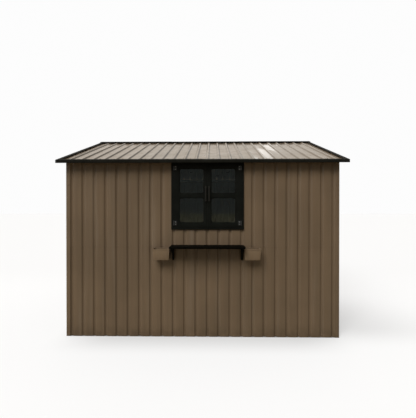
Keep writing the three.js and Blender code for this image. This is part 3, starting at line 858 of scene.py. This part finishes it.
def roof_screws(sheet, trim, fixing, shed):
    """Screws over the wall plates, and through the trims."""
    bays = roof_bays(sheet)
    over_wall = (shed.eave_y - shed.half_depth + PLATE_ROW) / math.cos(shed.slope)
    run = shed.eave_y / math.cos(shed.slope)
    sheets = []
    trims = []
    for side in LONG_SIDES:
        roof = shed.roof(side)
        for bay in range(1, bays, fixing.every):
            x = (bay - bays / 2) * sheet.pitch
            sheets.append(spot(x, 0, over_wall, roof))
        for bay in range(1, bays, 3):
            x = rib_centre(bay, bays, sheet)
            trims.append(spot(x, -trim.eave_level, EAVE_ROW, roof))
            trims.append(spot(x, -trim.ridge_level, run - RIDGE_ROW, roof))
        for end in (-1, 1):
            x = end * (shed.half_roof - trim.gable_flange / 2)
            for step in range(GABLE_SCREWS):
                up = GABLE_START + step * (run - GABLE_SPARE) / (GABLE_SCREWS - 1)
                trims.append(spot(x, -trim.gable_level, up, roof))
    screw_piece("roof_screws", sheets, "roof_screw", "front_roof_sheet", fixing)
    screw_piece("trim_screws", trims, "trim", "ridge_cap", fixing)


# ---- folded trims ----


def corner_posts(trim):
    """Folded angles outside the four corners."""
    for side, side_y in LONG_SIDES.items():
        for end, side_x in ENDS.items():
            node = f"{side}_{end}_corner_post"
            low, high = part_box(node)
            x = low.x if side_x < 0 else high.x
            y = low.y if side_y < 0 else high.y
            profile = [
                (x - side_x * trim.post_leg, y),
                (x, y),
                (x, y - side_y * trim.post_leg),
            ]
            bm = bmesh.new()
            outward = Vector((side_x, side_y, 0))
            fold_up(bm, profile, low.z + 0.001, high.z, trim.bend, outward)
            obj = thicken(link(f"{node}_angle", bm), trim.steel, 1)
            stand_for(node, obj, "wall", "backing")


def gable_trims(trim, shed):
    """Folded strips down the roof's edges, mitred where the two slopes meet."""
    spare = 0.05
    length_up = shed.eave_y / math.cos(shed.slope) + spare
    leg = trim.drop * math.cos(shed.slope)
    top = -trim.gable_level
    for name, end in ENDS.items():
        node = f"{name}_gable_trim"
        profile = [
            (end * (shed.half_roof - trim.gable_flange), top + 0.003),
            (end * (shed.half_roof - trim.gable_flange + 0.004), top),
            (end * shed.half_roof, top),
            (end * shed.half_roof, top + leg),
            (end * (shed.half_roof - trim.return_edge), top + leg),
        ]
        both = bmesh.new()
        for side, way in LONG_SIDES.items():
            turned = [(-way * x, y) for x, y in profile]
            bm = bmesh.new()
            fold_up(bm, turned, -spare, length_up, trim.bend, Vector((0, -1, 0)))
            bmesh.ops.transform(bm, matrix=shed.roof(side), verts=bm.verts)
            sliced(bm, (0, shed.middle + way * shed.eave_y, 0), (0, way, 0), True)
            sliced(bm, (0, shed.middle, 0), (0, -way, 0), True)
            take_in(both, bm)
        stand_for(node, thicken(link(f"{node}_strip", both), trim.steel), "trim")


def eave_trims(trim, shed):
    """Folded fascias along the eaves, each of two lapped lengths."""
    lap = trim.trim_lap / 2
    for side, way in LONG_SIDES.items():
        node = f"{side}_eave_trim"
        low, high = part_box(node)
        bm = bmesh.new()
        for left, right, behind in ((low.x, lap, 0), (-lap, high.x, LENGTH_STEP)):
            edge = shed.eave_y - behind
            reach = edge - trim.eave_flange
            level = trim.eave_level - behind
            profile = [
                (reach, shed.height(reach, level)),
                (edge, shed.height(edge, level)),
                (edge, low.z + behind / 2),
                (edge - trim.return_edge, low.z + behind / 2),
            ]
            placed = [(shed.middle + way * y, z) for y, z in profile]
            fold_along(bm, placed, left, right, trim.bend)
        stand_for(node, thicken(link(f"{node}_fascia", bm), trim.steel), "trim")


def ridge_caps(trim, shed):
    """The cap over the ridge, in three lapped lengths."""
    edge = trim.ridge_flange * math.cos(shed.slope)
    third = 2 * shed.half_roof / 3
    lap = trim.trim_lap / 2
    bm = bmesh.new()
    for index in range(3):
        left = -shed.half_roof + index * third - (lap if index else 0)
        right = -shed.half_roof + (index + 1) * third + (lap if index < 2 else 0)
        level = trim.ridge_level - (CAP_STEP if index == 1 else 0)
        lip = trim.ridge_level - trim.ridge_lip
        half = [(edge, shed.height(edge, lip)), (edge, shed.height(edge, level))]
        peak = (0, shed.height(0, level))
        profile = [(-y, z) for y, z in half] + [peak] + half[::-1]
        placed = [(shed.middle + y, z) for y, z in profile]
        fold_along(bm, placed, left, right, trim.bend)
    stand_for("ridge_cap", thicken(link("ridge_cap_strip", bm), trim.steel), "trim")


def frame_rails():
    """The folded rails and the ridge beam inside."""
    for node, slot in SLOTS.items():
        if slot == "galvanised_rail":
            stand_for(node, link(f"{node}_section", refined(node, 0.0005)), "zinc")


# ---- window ----


def light_holes(low, high, side, window):
    """The two glazed openings of a sash, as boxes in X and Z."""
    if side < 0:
        x0, x1 = low.x + window.outer_stile, high.x - window.inner_stile
    else:
        x0, x1 = low.x + window.inner_stile, high.x - window.outer_stile
    tall = (high.z - low.z - 2 * window.rail - window.bar) / 2
    sill = low.z + window.rail
    head = high.z - window.rail
    return [(x0, x1, sill, sill + tall), (x0, x1, head - tall, head)]


def window_frame(window):
    """The outer frame, with a rubber seal where it meets the wall."""
    low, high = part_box("window_frame")
    obj = link("window_frame_moulding", refined("window_frame", window.edge, segments=3))
    stand_for("window_frame", obj, "plastic")
    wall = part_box("front_wall_upper")[0].y
    size = window.frame_seal
    outer = rounded_plate(
        (low.x - size / 2, wall - size, low.z - size / 2),
        (high.x + size / 2, wall - 0.0002, high.z + size / 2),
        radius=0.002,
        segments=4,
    )
    inner = rounded_plate(
        (low.x + size, wall - 2 * size, low.z + size),
        (high.x - size, wall + size, high.z - size),
        radius=0.002,
        segments=4,
    )
    seal = soften(cut(link("window_frame_seal", outer), inner), 0.0006, segments=2)
    finish_piece(seal, ["rubber"], SLOTS["window_frame"])


def glazing_seals(node, low, high, holes, window):
    """A ring of rubber round each light of a sash."""
    seals = bmesh.new()
    grip = window.seal
    front = low.y + 0.0065
    back = high.y - 0.0004
    for index, (x0, x1, z0, z1) in enumerate(holes):
        outer = rounded_plate(
            (x0 - grip, front, z0 - grip),
            (x1 + grip, back, z1 + grip),
            radius=window.light_radius + grip,
        )
        inner = rounded_plate(
            (x0 + grip, front - 0.01, z0 + grip),
            (x1 - grip, back + 0.01, z1 - grip),
            radius=window.light_radius - grip,
        )
        ring = soften(cut(link(f"seal_{index}", outer), inner), 0.0012, segments=2)
        seals.from_mesh(ring.data)
        bpy.data.objects.remove(ring)
    return link(node, seals)


def sashes(window):
    """Two moulded sashes with two rounded lights each, sealed round the glass."""
    for name, side in ENDS.items():
        node = f"{name}_window_sash"
        low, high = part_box(node)
        holes = light_holes(low, high, side, window)
        plate = rounded_plate(low, high, 0.004, segments=4)
        cutters = [
            rounded_plate((x0, low.y - 0.01, z0), (x1, high.y + 0.01, z1), window.light_radius)
            for x0, x1, z0, z1 in holes
        ]
        obj = soften(cut(link(f"{node}_moulding", plate), *cutters), window.edge)
        stand_for(node, obj, "plastic")
        seals = glazing_seals(f"{name}_glazing_seals", low, high, holes, window)
        finish_piece(seals, ["rubber"], SLOTS[node])
        pane = f"{name}_window_pane"
        stand_for(pane, link(f"{pane}_glass", refined(pane, 0.0004, segments=1)), "glass")


def handles():
    """Rounded pull handles on small foot plates."""
    for name in ENDS:
        node = f"{name}_window_handle"
        low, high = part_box(node)
        stand_for(node, link(f"{node}_pull", refined(node, 0.0032, segments=4)), "handle")
        bm = bmesh.new()
        x = (low.x + high.x) / 2
        for z in (low.z + 0.007, high.z - 0.007):
            foot = rounded_plate(
                (x - 0.010, high.y - 0.0016, z - 0.012),
                (x + 0.010, high.y + 0.0003, z + 0.012),
                radius=0.004,
                segments=4,
            )
            take_in(bm, foot)
        plates = soften(link(f"{node}_plates", bm), 0.0005, segments=2)
        finish_piece(plates, ["handle"], SLOTS[node])


def hinge(node, side):
    """A hinge with a screwed leaf and a barrel of three knuckles on a pin."""
    low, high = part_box(node)
    tall = high.z - low.z
    outer = low.x if side < 0 else high.x
    x = outer - side * (KNUCKLE + 0.0006)
    y = low.y + KNUCKLE
    leaf_x = sorted((outer - side * 0.0105, low.x if side > 0 else high.x))
    edge_x = sorted((outer, outer - side * 0.0085))
    leaves = bmesh.new()
    for (left, right), corner in ((leaf_x, 0.003), (edge_x, 0.002)):
        foot = (left, high.y - LEAF, low.z)
        take_in(leaves, rounded_plate(foot, (right, high.y, high.z), corner, segments=4))
    plates = soften(link(f"{node}_leaves", leaves), 0.0009, segments=2)
    barrel = bmesh.new()
    barrel.from_mesh(plates.data)
    bpy.data.objects.remove(plates)
    for start, end in ((0.0, 0.30), (0.315, 0.685), (0.70, 1.0)):
        place = Matrix.Translation((x, y, low.z + tall * (start + end) / 2))
        rod(barrel, place, tall * (end - start), KNUCKLE, 20)
    rod(barrel, Matrix.Translation((x, y, (low.z + high.z) / 2)), tall + 0.002, PIN, 16)
    stand_for(node, soften(link(f"{node}_barrel", barrel), 0.0005, segments=2), "hinge")
    heads = bmesh.new()
    flat = Matrix.Diagonal((1, 1, 0.35, 1))
    for z in (low.z + 0.011, high.z - 0.011):
        place = spot((leaf_x[0] + leaf_x[1]) / 2, high.y - LEAF, z) @ flat
        bmesh.ops.create_uvsphere(
            heads, u_segments=14, v_segments=8, radius=HINGE_SCREW, matrix=place
        )
    finish_piece(link(f"{node}_screws", heads), ["zinc"], SLOTS[node])


def hinges():
    """The four hinges of the window."""
    for name, side in ENDS.items():
        for level in ("upper", "lower"):
            hinge(f"{name}_window_{level}_hinge", side)


# ---- shelf and planters ----


def shelf(fixing):
    """The moulded shelf on its two brackets."""
    node = "window_shelf"
    stand_for(node, link(f"{node}_moulding", refined(node, 0.0014, segments=3)), "shelf")
    places = []
    for name in ENDS:
        bracket = f"{name}_shelf_bracket"
        low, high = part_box(bracket)
        stand_for(bracket, link(f"{bracket}_arm", refined(bracket, 0.0009)), "trim")
        for x in (low.x + 0.0055, high.x - 0.0055):
            for z in (low.z + 0.018, high.z - 0.050):
                places.append(spot(x, high.y - 0.003, z) @ Matrix.Scale(BRACKET_SCREW, 4))
    screw_piece("bracket_screws", places, "trim", "left_shelf_bracket", fixing)


def planters(fixing):
    """Folded boxes with a rolled rim, screwed to the wall."""
    places = []
    half = RIM / 2
    for name in ENDS:
        node = f"{name}_planter"
        low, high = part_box(node)
        stand_for(node, link(f"{node}_box", refined(node, 0.0008)), "planter")
        rim = rounded_plate(
            (low.x - half, low.y - half, 0),
            (high.x + half, high.y - 0.0004, 1),
            radius=0.001,
            segments=1,
        )
        bmesh.ops.scale(rim, vec=(1, 1, 2 * RIM), verts=rim.verts)
        bmesh.ops.translate(rim, vec=(0, 0, high.z - 2 * RIM + 0.0006), verts=rim.verts)
        inner = rounded_plate(
            (low.x + half, low.y + half, high.z - 0.05),
            (high.x - half, high.y - RIM - 0.0004, high.z + 0.05),
            radius=0.001,
            segments=1,
        )
        edge = soften(cut(link(f"{node}_rim", rim), inner), 0.0019)
        finish_piece(edge, ["planter"], SLOTS[node])
        for x in (low.x + 0.035, high.x - 0.035):
            places.append(spot(x, high.y - 0.0024, high.z - 0.028))
    screw_piece("planter_screws", places, "zinc", "left_planter", fixing)


# ---- stage ----


def set_floor():
    """A plain pale floor that glows a little, so that the shadows on it stay light."""
    bm = bmesh.new()
    bmesh.ops.create_grid(bm, x_segments=1, y_segments=1, size=60)
    floor = link("studio_floor", bm)
    pale = Paint("studio_floor")
    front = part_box("front_wall_lower")[0].y
    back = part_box("back_wall_lower")[1].y
    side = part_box("back_wall_lower")[1].x
    middle = (front + back) / 2
    x = pale.axis(pale.place, "X")
    y = pale.axis(pale.place, "Y")
    across = pale.math("ABSOLUTE", x)
    deep = pale.math("ABSOLUTE", pale.math("SUBTRACT", y, middle))
    past_side = pale.math("SUBTRACT", across, side)
    past_wall = pale.math("SUBTRACT", deep, back - middle)
    away = pale.math("MAXIMUM", past_side, past_wall)
    # A soft shadow along the foot of the walls, but not at the corners
    contact = pale.product(
        pale.span(away, 0.0, 0.42, 0.30, 0.0),
        pale.span(across, 0.9, 1.6, 1.0, 0.0),
    )
    # The shed's own shadow beside its right wall
    beside = pale.product(
        pale.span(x, side, side + 1.6, 0.29, 0.0),
        pale.span(x, side - 0.7, side),
        pale.span(y, front - 0.25, front + 0.3),
        pale.span(y, front + 0.4, front + 1.7, 1.0, 0.0),
    )
    # The floor behind the shed glows a little less, so that it runs into the backdrop
    far = pale.span(y, 0.0, 2.5, 1.0, 0.946)
    lit = pale.math("SUBTRACT", pale.math("SUBTRACT", far, contact), beside)
    # No glow inside the shed's footprint: painted shade on the floor, seen in the walls' grooves as
    # a dark line along their foot
    clear = pale.product(pale.span(away, -0.002, 0.010), lit)
    seen = pale.node("ShaderNodeLightPath").outputs["Is Camera Ray"]
    pale.set(Roughness=1.0, Specular_IOR_Level=0.0, Emission_Color=(1.0, 1.0, 1.0))
    pale.set(Base_Color=pale.mix(seen, (0.25, 0.215, 0.15), (0.24, 0.24, 0.24)))
    pale.set(Emission_Strength=pale.product(clear, 0.668, seen))
    floor.data.materials.append(pale.material)


def set_camera(context):
    """The camera stands a little right of the middle, in front of the window wall."""
    data = bpy.data.cameras.new("camera")
    data.sensor_width = 36
    data.lens = 25.89
    camera = bpy.data.objects.new("camera", data)
    camera.location = (0.1124, -4.2474, 1.3469)
    camera.rotation_euler = (math.radians(89.6713), 0, math.radians(0.8905))
    context.scene.collection.objects.link(camera)
    context.scene.camera = camera


def direction(azimuth, elevation):
    """Towards the azimuth, 0 in front and positive to the right, and up to the elevation."""
    turn = math.radians(azimuth)
    rise = math.radians(elevation)
    out = math.cos(rise)
    return Vector((math.sin(turn) * out, -math.cos(turn) * out, math.sin(rise)))


def add_light(kind, name, place, target, power, **values):
    """A light at a place, turned to a target."""
    data = bpy.data.lights.new(name, kind)
    data.energy = power
    for key, value in values.items():
        setattr(data, key, value)
    light = bpy.data.objects.new(name, data)
    light.location = place
    light.rotation_euler = (Vector(target) - Vector(place)).to_track_quat("-Z", "Y").to_euler()
    light.visible_camera = False
    bpy.context.scene.collection.objects.link(light)
    return light


def make_sky():
    """A pale sky, dim in front and near the horizon and bright behind. The camera sees it plain."""
    world = bpy.data.worlds.new("studio_sky")
    world.use_nodes = True
    world.node_tree.nodes.clear()
    sky = Nodes(world.node_tree)
    towards = sky.node("ShaderNodeTexCoord").outputs["Generated"]
    behind = sky.span(sky.axis(towards, "Y"), -0.6, 0.5, 0.0, 0.8)
    raised = sky.span(sky.axis(towards, "Z"), 0.05, 0.38, 0.25, 1.0)
    soft = sky.math("ADD", sky.product(behind, raised), 0.2)
    seen = sky.node("ShaderNodeLightPath").outputs["Is Camera Ray"]
    glow = sky.node("ShaderNodeBackground")
    sky.fill(glow, Color=sky.mix(seen, (1.0, 0.945, 0.87), (1.0, 1.0, 1.0)))
    sky.fill(glow, Strength=sky.mix(seen, soft, 0.98, "VALUE"))
    sky.fill(sky.node("ShaderNodeOutputWorld"), Surface=glow.outputs["Background"])
    return world


def set_lights(context):
    """The sky, a soft sun from the upper left, a weaker one beside it and a glare on the roof."""
    context.scene.world = make_sky()
    key = add_light("SUN", "key_light", direction(-25, 45), (0, 0, 0), 3.25, angle=math.radians(34))
    key.visible_glossy = False
    add_light("SUN", "fill_light", direction(-72, 24), (0, 0, 0), 0.7, angle=math.radians(60))
    patch = Vector((0.55, -0.7, 2.05))
    source = patch + 12 * direction(167.9, 29)
    shape = {"shape": "RECTANGLE", "size": 0.6, "size_y": 2.4}
    glare = add_light("AREA", "glare_light", source, patch, 8, **shape)
    glare.visible_diffuse = False
    context.scene.view_settings.view_transform = "Standard"


# ---- operators ----


class SHED_OT_paints(bpy.types.Operator):
    """Make the shed's paints and give them to the fixed frame"""

    bl_idname = "shed.paints"
    bl_label = "Paints"

    def execute(self, context):
        PAINTS.update(make_paints(context.scene.shed_paint))
        kinds = {
            "wall_paint": "wall",
            "roof_paint": "roof",
            "black_paint": "trim",
            "black_plastic": "plastic",
            "hinge_grey": "hinge",
            "galvanised_rail": "zinc",
            "window_glass": "glass",
        }
        for node, obj in frame["nodes"].items():
            obj.data.materials.clear()
            obj.data.materials.append(PAINTS[kinds[SLOTS[node]]])
        return {"FINISHED"}


class SHED_OT_walls(bpy.types.Operator):
    """Press the wall sheets"""

    bl_idname = "shed.walls"
    bl_label = "Wall sheets"

    def execute(self, context):
        wall_tiers(context.scene.shed_sheet, Shed(context.scene.shed_trim))
        return {"FINISHED"}


class SHED_OT_roof(bpy.types.Operator):
    """Press the roof sheets"""

    bl_idname = "shed.roof"
    bl_label = "Roof sheets"

    def execute(self, context):
        roof_slopes(context.scene.shed_sheet, Shed(context.scene.shed_trim))
        return {"FINISHED"}


class SHED_OT_trims(bpy.types.Operator):
    """Fold the corner posts and the black roof trims"""

    bl_idname = "shed.trims"
    bl_label = "Posts and trims"

    def execute(self, context):
        trim = context.scene.shed_trim
        shed = Shed(trim)
        corner_posts(trim)
        gable_trims(trim, shed)
        eave_trims(trim, shed)
        ridge_caps(trim, shed)
        return {"FINISHED"}


class SHED_OT_rails(bpy.types.Operator):
    """Fold the galvanised rails and the ridge beam"""

    bl_idname = "shed.rails"
    bl_label = "Rails"

    def execute(self, context):
        frame_rails()
        return {"FINISHED"}


class SHED_OT_window(bpy.types.Operator):
    """Mould the window and fit its ironmongery"""

    bl_idname = "shed.window"
    bl_label = "Window"

    def execute(self, context):
        window = context.scene.shed_window
        window_frame(window)
        sashes(window)
        handles()
        hinges()
        return {"FINISHED"}


class SHED_OT_shelf(bpy.types.Operator):
    """Mould the shelf on its brackets"""

    bl_idname = "shed.shelf"
    bl_label = "Shelf"

    def execute(self, context):
        shelf(context.scene.shed_fixing)
        return {"FINISHED"}


class SHED_OT_planters(bpy.types.Operator):
    """Fold the two planters"""

    bl_idname = "shed.planters"
    bl_label = "Planters"

    def execute(self, context):
        planters(context.scene.shed_fixing)
        return {"FINISHED"}


class SHED_OT_screws(bpy.types.Operator):
    """Drive the sheet screws"""

    bl_idname = "shed.screws"
    bl_label = "Screws"

    def execute(self, context):
        scene = context.scene
        shed = Shed(scene.shed_trim)
        wall_screws(scene.shed_sheet, scene.shed_fixing, shed)
        post_screws(scene.shed_trim, scene.shed_fixing, shed)
        roof_screws(scene.shed_sheet, scene.shed_trim, scene.shed_fixing, shed)
        return {"FINISHED"}


class SHED_OT_stage(bpy.types.Operator):
    """Set the floor, the soft light and the camera"""

    bl_idname = "shed.stage"
    bl_label = "Stage"

    def execute(self, context):
        set_floor()
        set_camera(context)
        set_lights(context)
        return {"FINISHED"}


class SHED_PT_panel(bpy.types.Panel):
    """Lists the steps that build the shed"""

    bl_label = "Shed"
    bl_idname = "SHED_PT_panel"
    bl_space_type = "VIEW_3D"
    bl_region_type = "UI"
    bl_category = "Shed"

    def draw(self, context):
        for step in STEPS:
            self.layout.operator(step.bl_idname)


SETTINGS = {
    "shed_sheet": SheetSettings,
    "shed_trim": TrimSettings,
    "shed_window": WindowSettings,
    "shed_fixing": FixingSettings,
    "shed_paint": PaintSettings,
}
STEPS = (
    SHED_OT_paints,
    SHED_OT_walls,
    SHED_OT_roof,
    SHED_OT_trims,
    SHED_OT_rails,
    SHED_OT_window,
    SHED_OT_shelf,
    SHED_OT_planters,
    SHED_OT_screws,
    SHED_OT_stage,
)


def register():
    for name, group in SETTINGS.items():
        bpy.utils.register_class(group)
        setattr(bpy.types.Scene, name, PointerProperty(type=group))
    for step in STEPS:
        bpy.utils.register_class(step)
    bpy.utils.register_class(SHED_PT_panel)


def unregister():
    bpy.utils.unregister_class(SHED_PT_panel)
    for step in reversed(STEPS):
        bpy.utils.unregister_class(step)
    for name, group in SETTINGS.items():
        delattr(bpy.types.Scene, name)
        bpy.utils.unregister_class(group)


def main():
    register()
    for step in STEPS:
        group, name = step.bl_idname.split(".")
        getattr(getattr(bpy.ops, group), name)()
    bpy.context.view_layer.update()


if __name__ == "__main__":
    main()
